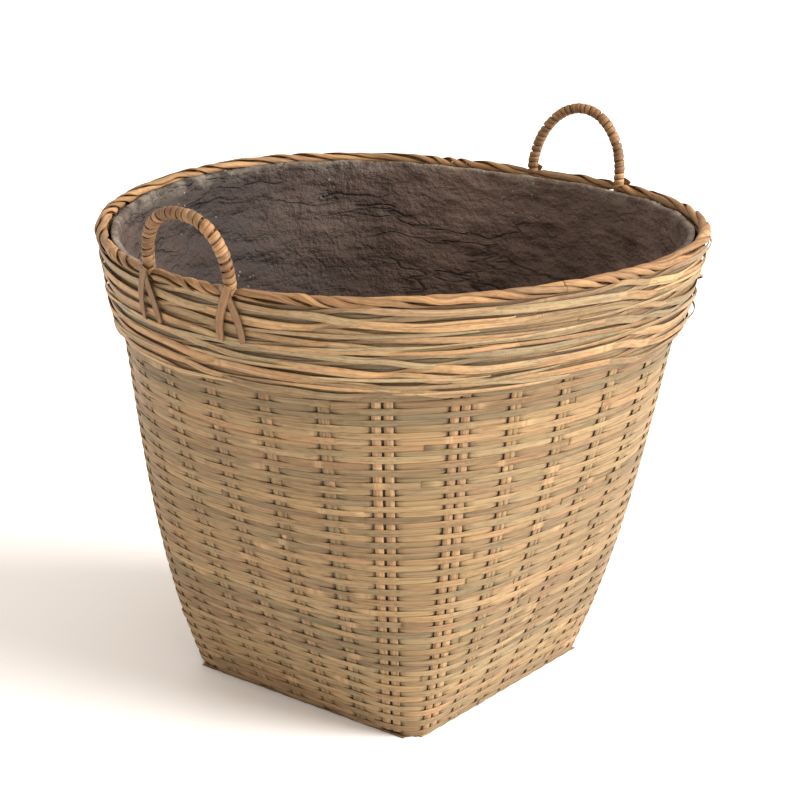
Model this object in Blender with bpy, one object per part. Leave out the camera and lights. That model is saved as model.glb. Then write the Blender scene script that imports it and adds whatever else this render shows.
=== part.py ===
"""Wicker log basket with a clay lining: square plaited base, round mouth, two cane handles.

Metres, +Z up. The origin is the centre of the base, on the floor. The handles stand over
the middles of the -Y side (front) and the +Y side (back).
"""

import math

import bmesh
import bpy
from mathutils import Vector

# Wall. Its outside is square at the floor and nearly round at the mouth.
RIM_HEIGHT = 0.4548
BASE_HALF = 0.141
FLARE = 0.449
BOW = 0.354
BASE_EXPONENT = 12.0
MOUTH_EXPONENT = 2.12
ROUND_FROM = 0.362
OVAL = 0.032
OVAL_TURN = math.radians(18.7)
THREE_LOBES = 0.042
THREE_LOBES_TURN = math.radians(36.6)

# Stakes: seven flat pairs on each side, running down one wall, under the floor and up the other.
STAKES_PER_SIDE = 7
STAKE_WIDTH = 0.015
STAKE_THICKNESS = 0.0016
FACET_HALF = 0.034
BEND_RADIUS = 0.0025
GAP = 0.0004

# Base, woven wall, collar and rim.
BASE_MAT_THICKNESS = 0.0014
WEAVE_THICKNESS = 0.0022
WEAVE_BANDS = 10
BAND_GAP = 0.0003
COLLAR_BOTTOM = ROUND_FROM
COLLAR_RINGS = 5
COLLAR_INSIDE = 0.0038
COLLAR_OUTSIDE = 0.0080
RIM_WRAP_HEIGHT = 0.0090
RIM_WRAP_INSIDE = -0.0028
RIM_WRAP_OUTSIDE = 0.0076
RIM_WRAP_CHAMFER = 0.0018

# Clay lining.
LINER_THICKNESS = 0.0060
LINER_TOP = 0.449
LINER_FLOOR = 0.0087

# Handles. Feet are places round the wall: whole numbers are corners, 3.5 is the middle of -Y.
HANDLES = {
    "front": {"feet": (3.374, 3.598), "rise": 0.0593, "lean": 12.9, "fullness": 2.34, "bias": 0.11, "wrap": 0.0062},
    "back": {"feet": (1.285, 1.536), "rise": 0.0665, "lean": 11.2, "fullness": 2.0, "bias": 0.054, "wrap": 0.0057},
}
CORE_RADIUS = 0.0036
CORE_OUTWARD = 0.0026
CORE_CLEARANCE = 0.0004
ARCH_STEPS = 16
SECTION_SIDES = 8

# Lashings: a pair of flat strips below each handle leg.
LASHING_WIDTH = 0.007
LASHING_THICKNESS = 0.0012
LASHING_BOTTOM = 0.407
LASHING_SPREAD = (0.0043, 0.0125)

COLOURS = {
    "clay": (0.075, 0.062, 0.055),
    "stake": (0.50, 0.33, 0.17),
    "weave": (0.55, 0.38, 0.21),
    "collar": (0.60, 0.42, 0.24),
    "rim": (0.52, 0.29, 0.12),
    "handle": (0.55, 0.32, 0.14),
    "cane": (0.35, 0.20, 0.09),
}
ROUGHNESS = {"clay": 0.95, "stake": 0.6, "weave": 0.6, "collar": 0.55, "rim": 0.55, "handle": 0.5, "cane": 0.6}


def clear_scene():
    for item in list(bpy.data.objects):
        bpy.data.objects.remove(item, do_unlink=True)


def make_material(name, kind):
    material = bpy.data.materials.new(name)
    material.use_nodes = True
    shader = material.node_tree.nodes["Principled BSDF"]
    shader.inputs["Base Color"].default_value = (*COLOURS[kind], 1.0)
    shader.inputs["Roughness"].default_value = ROUGHNESS[kind]
    return material


def finish(bm, name, kind):
    """Turn a bmesh into a named, smooth-shaded object with its own material."""
    bmesh.ops.recalc_face_normals(bm, faces=bm.faces)
    mesh = bpy.data.meshes.new(name)
    bm.to_mesh(mesh)
    bm.free()
    mesh.polygons.foreach_set("use_smooth", [True] * len(mesh.polygons))
    mesh.set_sharp_from_angle(angle=math.radians(35))
    mesh.materials.append(make_material(name, kind))
    item = bpy.data.objects.new(name, mesh)
    bpy.context.scene.collection.objects.link(item)
    return item


# The wall surface


def wall_half(z):
    """Half the width of the wall's outside across its flat sides."""
    return BASE_HALF + FLARE * z - BOW * z * z


def roundness(z):
    """0 where the section is square, 1 where it is round."""
    share = min(max(z / ROUND_FROM, 0.0), 1.0)
    return 1.0 - (1.0 - share) ** 1.5


def wall_point(place, z, outward):
    """Point on the wall at a place round it (0 to 4, one per side) and a distance outside it."""
    side = math.floor(place)
    across = 2.0 * (place - side) - 1.0
    blend = roundness(z)
    turn = (1.0 - blend) * math.atan(across) + blend * across * math.pi / 4
    angle = side * math.pi / 2 + turn
    inverse = 1 / BASE_EXPONENT + (1 / MOUTH_EXPONENT - 1 / BASE_EXPONENT) * blend
    power = 1 / inverse
    reach = (abs(math.cos(angle)) ** power + abs(math.sin(angle)) ** power) ** -inverse
    lobes = OVAL * math.cos(2 * (angle - OVAL_TURN))
    lobes += THREE_LOBES * math.cos(3 * (angle - THREE_LOBES_TURN))
    radius = (wall_half(z) + outward) * reach * (1 + lobes * z / RIM_HEIGHT)
    return Vector((radius * math.cos(angle), radius * math.sin(angle), z))


def ring_places():
    """Places round a ring: each corner, and both edges of the flat behind each stake."""
    places = []
    for side in range(4):
        places.append(float(side))
        for stake in range(STAKES_PER_SIDE):
            middle = side + (stake + 0.5) / STAKES_PER_SIDE
            places += [middle - FACET_HALF, middle + FACET_HALF]
    return places


def band_heights():
    """Heights of the joints between the woven bands, from the base to the collar."""
    bottom = BASE_MAT_THICKNESS + GAP
    step = (COLLAR_BOTTOM - bottom) / WEAVE_BANDS
    return [bottom + step * i for i in range(WEAVE_BANDS + 1)]


def skin(bm, sections, closed_path):
    """Faces between neighbouring closed sections. An open path gets a cap at each end."""
    loops = [[bm.verts.new(point) for point in section] for section in sections]
    count = len(loops)
    for i in range(count if closed_path else count - 1):
        near, far = loops[i], loops[(i + 1) % count]
        for j in range(len(near)):
            k = (j + 1) % len(near)
            bm.faces.new((near[j], near[k], far[k], far[j]))
    if not closed_path:
        bm.faces.new(loops[0])
        bm.faces.new(reversed(loops[-1]))


def turned_wall(name, kind, profile, closed_path):
    """Body whose profile of (outward, z) points follows the wall all the way round."""
    bm = bmesh.new()
    places = ring_places()
    skin(bm, [[wall_point(place, z, outward) for place in places] for outward, z in profile], closed_path)
    return finish(bm, name, kind)


def box_ring(name, kind, inside, outside, low, high):
    return turned_wall(name, kind, [(outside, low), (outside, high), (inside, high), (inside, low)], True)


# Parts


def build_base_mat():
    """Plaited outer layer of the base, which the basket stands on."""
    profile = [(-0.0012, 0.0), (-0.0004, BASE_MAT_THICKNESS)]
    return turned_wall("base_mat", "weave", profile, False)


def stake_edges(place, z, outward):
    """Middle and direction of the flat that a stake lies on."""
    low = wall_point(place - FACET_HALF, z, outward)
    high = wall_point(place + FACET_HALF, z, outward)
    return (low + high) / 2, (high - low).normalized()


def stake_wall_section(place, z):
    outer = -WEAVE_THICKNESS - GAP
    middle_out, along = stake_edges(place, z, outer)
    middle_in, _ = stake_edges(place, z, outer - STAKE_THICKNESS)
    reach = along * STAKE_WIDTH / 2
    return [middle_out - reach, middle_out + reach, middle_in + reach, middle_in - reach]


def stake_bend_sections(place, bottom):
    """Sections round the bend from the wall to the floor, whose underside is at height bottom."""
    inner = -WEAVE_THICKNESS - GAP - STAKE_THICKNESS
    centre_height = bottom + STAKE_THICKNESS + BEND_RADIUS
    slope = math.atan(FLARE)
    start, along = stake_edges(place, centre_height - BEND_RADIUS * math.sin(slope), inner)
    away = Vector((along.y, -along.x, 0))
    centre = start - away * BEND_RADIUS * math.cos(slope)
    centre.z = centre_height
    sections = []
    for step in range(3):
        angle = slope + (math.pi / 2 - slope) * step / 2
        spoke = away * math.cos(angle) - Vector((0, 0, 1)) * math.sin(angle)
        far = centre + spoke * (BEND_RADIUS + STAKE_THICKNESS)
        near = centre + spoke * BEND_RADIUS
        reach = along * STAKE_WIDTH / 2
        sections.append([far - reach, far + reach, near + reach, near - reach])
    return sections


def build_stakes():
    """U-shaped stakes, one layer along X and one along Y, crossing under the lining."""
    top = RIM_HEIGHT - RIM_WRAP_HEIGHT - GAP
    heights = [top, (top + COLLAR_BOTTOM) / 2] + band_heights()[:0:-1]
    for layer, (first_side, word) in enumerate(((0, "x"), (1, "y"))):
        bottom = BASE_MAT_THICKNESS + GAP + layer * (STAKE_THICKNESS + GAP)
        for stake in range(STAKES_PER_SIDE):
            share = (stake + 0.5) / STAKES_PER_SIDE
            near, far = first_side + share, first_side + 3 - share
            down = [stake_wall_section(near, z) for z in heights] + stake_bend_sections(near, bottom)
            up = [stake_wall_section(far, z) for z in heights] + stake_bend_sections(far, bottom)
            # The far end is met from below, so its sections run the other way round.
            turned = [[s[1], s[0], s[3], s[2]] for s in reversed(up)]
            bm = bmesh.new()
            skin(bm, down + turned, False)
            finish(bm, f"stake_{word}_{stake + 1}", "stake")


def build_weave():
    heights = band_heights()
    for band in range(WEAVE_BANDS):
        low = heights[band] + BAND_GAP / 2
        high = heights[band + 1] - BAND_GAP / 2
        box_ring(f"weave_band_{band + 1:02d}", "weave", -WEAVE_THICKNESS, 0.0, low, high)


def build_collar():
    top = RIM_HEIGHT - RIM_WRAP_HEIGHT - BAND_GAP
    step = (top - COLLAR_BOTTOM) / COLLAR_RINGS
    for ring in range(COLLAR_RINGS):
        low = COLLAR_BOTTOM + step * ring + BAND_GAP / 2
        high = low + step - BAND_GAP
        box_ring(f"collar_ring_{ring + 1}", "collar", COLLAR_INSIDE, COLLAR_OUTSIDE, low, high)


def build_liner():
    outer = -WEAVE_THICKNESS - 2 * GAP - STAKE_THICKNESS
    inner = outer - LINER_THICKNESS
    floor_under = BASE_MAT_THICKNESS + 3 * GAP + 2 * STAKE_THICKNESS
    floor_top = floor_under + LINER_FLOOR
    heights = band_heights()[1:]
    profile = [(outer - 0.004, floor_under), (outer, floor_under + 0.0047)]
    profile += [(outer, z) for z in heights]
    profile += [(outer, 0.405), (outer, LINER_TOP - 0.0015), (outer - 0.0022, LINER_TOP)]
    profile += [(inner + 0.0022, LINER_TOP), (inner, LINER_TOP - 0.0025)]
    profile += [(inner, z) for z in heights[::-2]]
    profile += [(inner - 0.0015, floor_top + 0.007), (inner - 0.010, floor_top)]
    return turned_wall("clay_liner", "clay", profile, False)


def cut_leg_holes(ring):
    """Passages for the handle legs through the rim wrap."""
    for handle, shape in HANDLES.items():
        for number, place in enumerate(shape["feet"]):
            low = wall_point(place, RIM_HEIGHT - RIM_WRAP_HEIGHT - 0.003, 0.0017)
            high = wall_point(place, RIM_HEIGHT + 0.003, CORE_OUTWARD)
            bm = bmesh.new()
            radius = CORE_RADIUS + 0.0006
            sections = []
            for end in (low, high):
                spin = [2 * math.pi * k / 16 for k in range(16)]
                sections.append([end + Vector((math.cos(a), math.sin(a), 0)) * radius for a in spin])
            skin(bm, sections, False)
            cutter = finish(bm, f"cutter_{handle}_{number}", "rim")
            cutter.hide_render = True
            cutter.display_type = "WIRE"
            cut = ring.modifiers.new(cutter.name, "BOOLEAN")
            cut.operation = "DIFFERENCE"
            cut.solver = "EXACT"
            cut.object = cutter


def build_rim_wrap():
    low, high = RIM_HEIGHT - RIM_WRAP_HEIGHT, RIM_HEIGHT
    inside, outside, chamfer = RIM_WRAP_INSIDE, RIM_WRAP_OUTSIDE, RIM_WRAP_CHAMFER
    profile = [
        (outside - chamfer, low), (outside, low + chamfer),
        (outside, high - chamfer), (outside - chamfer, high),
        (inside + chamfer, high), (inside, high - chamfer),
        (inside, low + chamfer), (inside + chamfer, low),
    ]
    ring = turned_wall("rim_wrap", "rim", profile, True)
    cut_leg_holes(ring)


def handle_arch(shape):
    """Centres of the handle loop above the rim, and the loop's outward direction."""
    base = RIM_HEIGHT + 0.0022
    left, right = (wall_point(place, base, CORE_OUTWARD) for place in shape["feet"])
    middle = (left + right) / 2
    along = (right - left) / 2
    away = Vector((middle.x, middle.y, 0)).normalized()
    lean = math.radians(shape["lean"])
    up = Vector((0, 0, 1)) * math.cos(lean) + away * math.sin(lean)
    centres = []
    for step in range(ARCH_STEPS + 1):
        turn = math.pi * step / ARCH_STEPS
        # Closer steps near the feet, where the loop is nearly straight.
        turn -= 0.35 * math.sin(2 * turn) / 2
        sideways, height = -math.cos(turn), math.sin(turn)
        sideways = math.copysign(abs(sideways) ** (2 / shape["fullness"]), sideways)
        height = abs(height) ** (2 / shape["fullness"])
        sideways += shape["bias"] * height
        centres.append(middle + along * sideways + up * shape["rise"] * height)
    return centres, along.normalized(), up, away


def arch_frames(shape):
    """Centre, in-plane normal and cross direction at each step of the loop."""
    centres, along, up, _ = handle_arch(shape)
    cross = along.cross(up).normalized()
    frames = []
    for i, centre in enumerate(centres):
        before, after = centres[max(i - 1, 0)], centres[min(i + 1, len(centres) - 1)]
        tangent = (after - before).normalized()
        if i in (0, len(centres) - 1):
            tangent = up if i == 0 else -up
        frames.append((centre, tangent.cross(cross).normalized(), cross))
    return frames


def ellipse_section(centre, side, cross, half_side, half_cross):
    points = []
    for k in range(SECTION_SIDES):
        angle = 2 * math.pi * (k + 0.5) / SECTION_SIDES
        points.append(centre + side * half_side * math.cos(angle) + cross * half_cross * math.sin(angle))
    return points


def tang_sections(place, loop_side):
    """Flattened end of the core, pushed down between the stakes and the collar."""
    side = (wall_point(place + 0.01, RIM_HEIGHT, 0) - wall_point(place - 0.01, RIM_HEIGHT, 0)).normalized()
    cross = Vector((side.y, -side.x, 0))
    if side.dot(loop_side) < 0:
        side, cross = -side, cross
    steps = ((0.405, 0.0008, 0.0032, 0.0008), (0.418, 0.0008, 0.0040, 0.0013),
             (0.440, 0.0008, 0.0038, 0.0015), (0.4456, 0.0010, 0.0036, 0.0018))
    sections = []
    for z, outward, half_side, half_cross in steps:
        sections.append(ellipse_section(wall_point(place, z, outward), side, cross, half_side, half_cross))
    return sections


def build_handle(name, shape):
    frames = arch_frames(shape)
    core = [ellipse_section(c, side, cross, CORE_RADIUS, CORE_RADIUS) for c, side, cross in frames]
    first, last = frames[0], frames[-1]
    start = tang_sections(shape["feet"][0], first[1])
    end = tang_sections(shape["feet"][1], last[1])
    bm = bmesh.new()
    skin(bm, start + core + end[::-1], False)
    finish(bm, f"handle_core_{name}", "cane")

    bm = bmesh.new()
    inner_radius = CORE_RADIUS + CORE_CLEARANCE
    outer = [ellipse_section(c, s, x, shape["wrap"], shape["wrap"]) for c, s, x in frames]
    inner = [ellipse_section(c, s, x, inner_radius, inner_radius) for c, s, x in frames]
    # Out along the outer skin and back along the inner one, which closes the tube at both feet.
    skin(bm, outer + inner[::-1], True)
    finish(bm, f"handle_wrap_{name}", "handle")


def build_lashings(name, shape):
    """Two strips under each leg, spreading down the outside of the collar."""
    top = RIM_HEIGHT - 0.0008
    for leg, place in zip(("a", "b"), shape["feet"]):
        for direction, word in ((-1, "left"), (1, "right")):
            sections = []
            for step in range(5):
                share = step / 4
                z = top + (LASHING_BOTTOM - top) * share
                shift = LASHING_SPREAD[0] + (LASHING_SPREAD[1] - LASHING_SPREAD[0]) * share
                face = [wall_point(place, z, COLLAR_OUTSIDE + GAP + d) for d in (0, LASHING_THICKNESS)]
                ahead = wall_point(place + 0.01, z, COLLAR_OUTSIDE) - wall_point(place - 0.01, z, COLLAR_OUTSIDE)
                ahead.normalize()
                middle = ahead * direction * shift
                half = ahead * LASHING_WIDTH / 2
                sections.append([face[0] + middle - half, face[0] + middle + half,
                                 face[1] + middle + half, face[1] + middle - half])
            bm = bmesh.new()
            skin(bm, sections, False)
            finish(bm, f"lashing_{name}_{leg}_{word}", "rim")


clear_scene()
build_base_mat()
build_stakes()
build_liner()
build_weave()
build_collar()
build_rim_wrap()
for handle_name, handle_shape in HANDLES.items():
    build_handle(handle_name, handle_shape)
    build_lashings(handle_name, handle_shape)
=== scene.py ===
import math
import random

import bmesh
import bpy
from mathutils import Matrix, Vector, noise


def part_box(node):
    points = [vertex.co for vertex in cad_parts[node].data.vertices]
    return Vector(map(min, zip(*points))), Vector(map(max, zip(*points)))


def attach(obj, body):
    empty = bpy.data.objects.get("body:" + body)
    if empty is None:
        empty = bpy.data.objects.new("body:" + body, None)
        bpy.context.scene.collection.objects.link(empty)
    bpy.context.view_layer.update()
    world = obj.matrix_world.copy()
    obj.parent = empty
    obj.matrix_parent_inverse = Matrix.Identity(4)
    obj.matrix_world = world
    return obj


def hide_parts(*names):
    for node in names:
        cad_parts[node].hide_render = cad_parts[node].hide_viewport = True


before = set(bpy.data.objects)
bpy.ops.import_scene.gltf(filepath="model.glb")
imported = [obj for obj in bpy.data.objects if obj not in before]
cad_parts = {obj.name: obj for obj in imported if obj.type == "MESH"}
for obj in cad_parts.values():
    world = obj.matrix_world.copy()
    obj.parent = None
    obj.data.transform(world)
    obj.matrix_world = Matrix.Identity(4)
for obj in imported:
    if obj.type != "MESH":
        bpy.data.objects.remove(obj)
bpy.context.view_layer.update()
scene = bpy.context.scene
print("frame loaded:", len(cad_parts), "solid parts")

# The wall's curve, with the same figures as the solid parts have
wall = {
    "baseHalf": .141, "flare": .449, "bow": .354,
    "baseExponent": 12.0, "mouthExponent": 2.12, "roundFrom": .362,
    "oval": .032, "ovalTurn": math.radians(18.7),
    "threeLobes": .042, "threeLobesTurn": math.radians(36.6),
    "stakesRound": 28, "stakesPerSide": 7, "cornerStakes": (0, 6),
}
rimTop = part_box("rim_wrap")[1].z
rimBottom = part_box("rim_wrap")[0].z
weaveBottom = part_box("weave_band_01")[0].z
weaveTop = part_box("weave_band_10")[1].z
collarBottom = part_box("collar_ring_1")[0].z
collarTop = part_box("collar_ring_5")[1].z


def clamp(value, low=0.0, high=1.0):
    return max(low, min(high, value))


def ease(low, high, value):
    share = clamp((value - low) / (high - low))
    return share * share * (3 - 2 * share)


def ripple(x, y, z):
    return noise.noise(Vector((x, y, z)))


def wallPoint(place, z, outward):
    # place runs 0 to 4 round the basket; whole numbers are the corners
    side = math.floor(place)
    across = 2 * (place - side) - 1
    share = clamp(z / wall["roundFrom"])
    blend = 1 - (1 - share) ** 1.5
    angle = side * math.pi / 2 + (1 - blend) * math.atan(across) + blend * across * math.pi / 4
    flat = 1 / wall["baseExponent"]
    inverse = flat + (1 / wall["mouthExponent"] - flat) * blend
    c, s = math.cos(angle), math.sin(angle)
    reach = (abs(c) ** (1 / inverse) + abs(s) ** (1 / inverse)) ** -inverse
    lobes = (wall["oval"] * math.cos(2 * (angle - wall["ovalTurn"]))
             + wall["threeLobes"] * math.cos(3 * (angle - wall["threeLobesTurn"])))
    half = wall["baseHalf"] + wall["flare"] * z - wall["bow"] * z * z
    radius = (half + outward) * reach * (1 + lobes * z / rimTop)
    return Vector((radius * c, radius * s, z))


# the stakes by the front corner stand wider apart, as shares of a side
cornerShift = {27: -.021, 0: .012, 26: -.006, 1: .004}


def stakeSpot(n):
    # the place of stake n, which may run past one turn of the basket
    return (n + .5) * 4 / wall["stakesRound"] + cornerShift.get(n % wall["stakesRound"], 0)


def metresRound(z):
    points = [wallPoint(i / 16, z, 0) for i in range(64)]
    return sum((points[i] - points[i - 1]).length for i in range(64))


def sway(place, z):
    # slow up and down wander shared by neighbouring strips
    turn = place * math.pi / 2
    return (.9 * ripple(math.cos(turn) * 1.6, math.sin(turn) * 1.6, z * 9)
            + .45 * ripple(math.cos(turn) * 5 + 7, math.sin(turn) * 5, z * 16)) * .001


# Every piece of cane is a strip: a grid that a function bends, thickened at the end
def startPiece():
    bm = bmesh.new()
    bm.loops.layers.uv.new("UVMap")
    bm.loops.layers.float_color.new("strip")
    return bm


edgeReach = .86  # share of a strip's width that is flat


def layStrip(bm, steps, across, pointAt, length, width, tint, hollowShadeAt=None, uStart=0.0):
    # pointAt(along, across) says where each corner of the grid goes, and both run from 0 to 1
    uvLayer = bm.loops.layers.uv["UVMap"]
    tintLayer = bm.loops.layers.float_color["strip"]
    made = bmesh.ops.create_grid(bm, x_segments=steps, y_segments=across, size=.5)["verts"]
    spots = {}
    for vert in made:
        u, v = clamp(vert.co.x + .5), clamp(vert.co.y + .5)
        # the outer rows of faces are narrow, so only the edges look rounded
        if across > 2 and abs(v - .5) < .499:
            v = .5 + (v - .5) * edgeReach * across / (across - 2)
        spots[vert] = (u, v, hollowShadeAt(u, v) if hollowShadeAt else 0.0)
        vert.co = pointAt(u, v)
    for face in {face for vert in made for face in vert.link_faces}:
        face.smooth = True
        for loop in face.loops:
            u, v, hollowShade = spots[loop.vert]
            loop[uvLayer].uv = (uStart + u * length, v * width)
            loop[tintLayer] = (tint[0], tint[1], hollowShade, v)


def finishPiece(bm, name, nodes, material, thickness=0.0):
    mesh = bpy.data.meshes.new(name)
    bm.to_mesh(mesh)
    bm.free()
    piece = bpy.data.objects.new(name, mesh)
    scene.collection.objects.link(piece)
    mesh.materials.append(material)
    if thickness:
        wallModifier = piece.modifiers.new("thickness", "SOLIDIFY")
        wallModifier.thickness = thickness
        wallModifier.offset = -1
    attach(piece, "root")
    if nodes:
        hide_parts(*nodes)
    return piece


def addNode(tree, kind, inputs=None, **settings):
    made = tree.nodes.new(kind)
    for key, value in settings.items():
        setattr(made, key, value)
    for key, value in (inputs or {}).items():
        if isinstance(value, bpy.types.NodeSocket):
            tree.links.new(value, made.inputs[key])
        else:
            made.inputs[key].default_value = value
    return made


def mixColour(tree, mode, factor, first, second):
    made = addNode(tree, "ShaderNodeMix", {0: factor, 6: first, 7: second}, data_type="RGBA", blend_type=mode)
    return made.outputs[2]


def rampColour(tree, factor, stops):
    made = addNode(tree, "ShaderNodeValToRGB", {0: factor})
    ramp = made.color_ramp
    while len(ramp.elements) < len(stops):
        ramp.elements.new(.5)
    for element, (position, colour) in zip(ramp.elements, stops):
        element.position = position
        element.color = (*colour, 1) if len(colour) == 3 else colour
    return made.outputs[0]


def grey(value):
    return (value, value, value)


def fromSrgb(r, g, b):
    return tuple((c / 255 / 12.92) if c <= 10 else ((c / 255 + .055) / 1.055) ** 2.4 for c in (r, g, b))


def mathNode(tree, operation, first, second=0.0, third=None):
    values = {0: first, 1: second}
    if third is not None:
        values[2] = third
    return addNode(tree, "ShaderNodeMath", values, operation=operation).outputs[0]


def caneMaterial(name, look):
    # the piece's "strip" attribute holds each strip's hue and tone, how much painted shade it gets in the
    # hollows and the way across it
    material = bpy.data.materials.new(name)
    material.use_nodes = True
    tree = material.node_tree
    tree.nodes.clear()
    uv = addNode(tree, "ShaderNodeUVMap", uv_map="UVMap").outputs[0]
    strip = addNode(tree, "ShaderNodeAttribute", attribute_name="strip", attribute_type="GEOMETRY")
    parts = addNode(tree, "ShaderNodeSeparateColor", {0: strip.outputs["Color"]})
    hue, tone, hollowShade, across = parts.outputs[0], parts.outputs[1], parts.outputs[2], strip.outputs["Alpha"]
    own = addNode(tree, "ShaderNodeCombineXYZ", {0: hue, 1: tone, 2: tone})
    shift = addNode(tree, "ShaderNodeVectorMath", {0: own.outputs[0], 1: (37.0, 53.0, 19.0)},
                    operation="MULTIPLY").outputs[0]

    def grain(lengthways, crossways, detail, roughness=.6):
        scaled = addNode(tree, "ShaderNodeVectorMath", {0: uv, 1: (lengthways, crossways, 1.0)},
                         operation="MULTIPLY")
        moved = addNode(tree, "ShaderNodeVectorMath", {0: scaled.outputs[0], 1: shift}, operation="ADD")
        return addNode(tree, "ShaderNodeTexNoise", {"Vector": moved.outputs[0], "Scale": 1.0,
                                                    "Detail": detail, "Roughness": roughness}).outputs[0]

    fibres = grain(14, 1500, 3)
    streaks = grain(9, 420, 4)
    mottle = grain(120, 420, 2)
    patches = grain(11, 60, 2)
    blush = grain(5, 30, 1)

    colour = rampColour(tree, hue, look["hues"])
    colour = mixColour(tree, "MIX", mathNode(tree, "MULTIPLY", rampColour(
        tree, patches, [(.46, grey(0)), (.72, grey(1))]), look["greenShare"]), colour, (*look["green"], 1))
    colour = mixColour(tree, "MIX", mathNode(tree, "MULTIPLY", rampColour(
        tree, blush, [(.52, grey(0)), (.7, grey(1))]), look["blushShare"]), colour, (*look["blush"], 1))
    colour = mixColour(tree, "MULTIPLY", 1.0, colour, rampColour(
        tree, tone, [(0, grey(look["toneLow"])), (1, grey(look["toneHigh"]))]))
    colour = mixColour(tree, "MULTIPLY", look["streaks"], colour, rampColour(
        tree, streaks, [(.3, (.62, .56, .48)), (.52, grey(1)), (.75, (1.16, 1.15, 1.12))]))
    colour = mixColour(tree, "MULTIPLY", look["mottle"], colour, rampColour(
        tree, mottle, [(.32, (.7, .66, .6)), (.5, grey(1)), (.7, (1.12, 1.12, 1.1))]))
    colour = mixColour(tree, "MULTIPLY", look["fibres"], colour, rampColour(
        tree, fibres, [(.3, (.66, .6, .54)), (.5, grey(1)), (.72, (1.12, 1.12, 1.1))]))
    # the ring where a leaf grew: a thin darker line beside a paler, warmer swelling
    along = addNode(tree, "ShaderNodeSeparateXYZ", {0: uv}).outputs[0]
    rings = addNode(tree, "ShaderNodeTexVoronoi", {
        "W": mathNode(tree, "MULTIPLY_ADD", along, look["ringsPerMetre"],
                      mathNode(tree, "MULTIPLY", hue, 61.0)),
        "Scale": 1.0, "Randomness": .85}, voronoi_dimensions="1D").outputs["Distance"]
    swelling = rampColour(tree, rings, [(0, grey(1)), (.006, grey(.75)), (.014, grey(0))])
    line = rampColour(tree, rings, [(.0006, grey(1)), (.0016, grey(0))])
    colour = mixColour(tree, "MIX", mathNode(tree, "MULTIPLY", swelling, look["ringShare"]), colour,
                       (*look["ring"], 1))
    colour = mixColour(tree, "MIX", mathNode(tree, "MULTIPLY", line, .45), colour, (.09, .05, .025, 1))
    # painted shade: both edges darker, partly the browner split edge of the cane and partly shade where
    # strips meet, and the hollows go near black
    edge = rampColour(tree, across, [(0, grey(.42)), (.1, grey(.93)), (.5, grey(1)), (.88, grey(.95)),
                                     (1, grey(.5))])
    colour = mixColour(tree, "MULTIPLY", look["edges"], colour, edge)
    colour = mixColour(tree, "MIX", mathNode(tree, "MULTIPLY", hollowShade, look["hollowShade"]), colour,
                       (*look["hollowShadeColour"], 1))

    roughness = addNode(tree, "ShaderNodeMapRange", {0: fibres, 1: .3, 2: .7, 3: look["roughLow"],
                                                     4: look["roughHigh"]}).outputs[0]
    height = mathNode(tree, "MULTIPLY_ADD", streaks, .8, mathNode(tree, "MULTIPLY_ADD", swelling, .7,
                                                                  mathNode(tree, "MULTIPLY", fibres, .6)))
    bump = addNode(tree, "ShaderNodeBump", {"Height": height, "Strength": look["bump"], "Distance": .0006})
    shader = addNode(tree, "ShaderNodeBsdfPrincipled", {
        "Base Color": colour, "Roughness": roughness, "Normal": bump.outputs[0],
        "Specular IOR Level": look["specular"]})
    addNode(tree, "ShaderNodeOutputMaterial", {0: shader.outputs[0]})
    return material


weaverLook = {
    "hues": [(0, fromSrgb(197, 162, 113)), (.2, fromSrgb(203, 168, 118)), (.4, fromSrgb(190, 159, 111)),
             (.55, fromSrgb(201, 164, 115)), (.7, fromSrgb(186, 159, 113)), (.85, fromSrgb(207, 163, 113)),
             (1, fromSrgb(210, 178, 129))],
    "green": fromSrgb(168, 156, 122), "greenShare": .5, "blush": fromSrgb(206, 154, 110), "blushShare": .45,
    "toneLow": .34, "toneHigh": .56, "streaks": 1.0, "fibres": .7, "mottle": .8, "ringsPerMetre": 1.6,
    "ring": fromSrgb(198, 160, 116), "ringShare": .5, "edges": .2, "hollowShade": .97, "hollowShadeColour": (.02, .012, .007),
    "roughLow": .48, "roughHigh": .72, "bump": .45, "specular": .35,
}
stakeLook = dict(weaverLook, toneLow=.38, toneHigh=.50)
cornerLook = dict(weaverLook, hues=[(0, fromSrgb(214, 168, 120)), (.5, fromSrgb(222, 180, 130)),
                                    (1, fromSrgb(208, 164, 118))], greenShare=.1, toneLow=.42, toneHigh=.54)
collarLook = dict(weaverLook, hues=[(0, fromSrgb(200, 162, 112)), (.2, fromSrgb(188, 164, 122)),
                                    (.4, fromSrgb(210, 170, 120)), (.6, fromSrgb(200, 156, 108)),
                                    (.8, fromSrgb(182, 160, 120)), (1, fromSrgb(216, 184, 136))],
                  toneLow=.40, toneHigh=.76, streaks=1.0, fibres=.9, ringsPerMetre=1.2, edges=.6)
rimLook = dict(weaverLook, hues=[(0, fromSrgb(196, 144, 92)), (.5, fromSrgb(212, 164, 110)),
                                 (1, fromSrgb(178, 124, 76))], greenShare=.15, blushShare=.3, streaks=1.0,
               fibres=1.0, mottle=.8, toneLow=.36, toneHigh=.62, ringsPerMetre=.8, edges=1.0, bump=.7)
bindingLook = dict(rimLook, hues=[(0, fromSrgb(190, 138, 90)), (.5, fromSrgb(212, 166, 116)),
                                  (1, fromSrgb(170, 120, 76))], toneLow=.32, toneHigh=.64, edges=.95)
lashingLook = dict(bindingLook, hues=[(0, fromSrgb(164, 122, 80)), (1, fromSrgb(196, 152, 106))],
                   toneLow=.40, toneHigh=.66, ringsPerMetre=.4, edges=1.0, bump=1.0)

weaverCane = caneMaterial("split bamboo weaver", weaverLook)
stakeCane = caneMaterial("split bamboo stake", stakeLook)
cornerCane = caneMaterial("pale corner stake", cornerLook)
collarCane = caneMaterial("wide collar strip", collarLook)
rimCane = caneMaterial("rim strip", rimLook)
bindingCane = caneMaterial("handle binding", bindingLook)
lashingCane = caneMaterial("lashing strip", lashingLook)
print("cane materials made")

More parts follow.
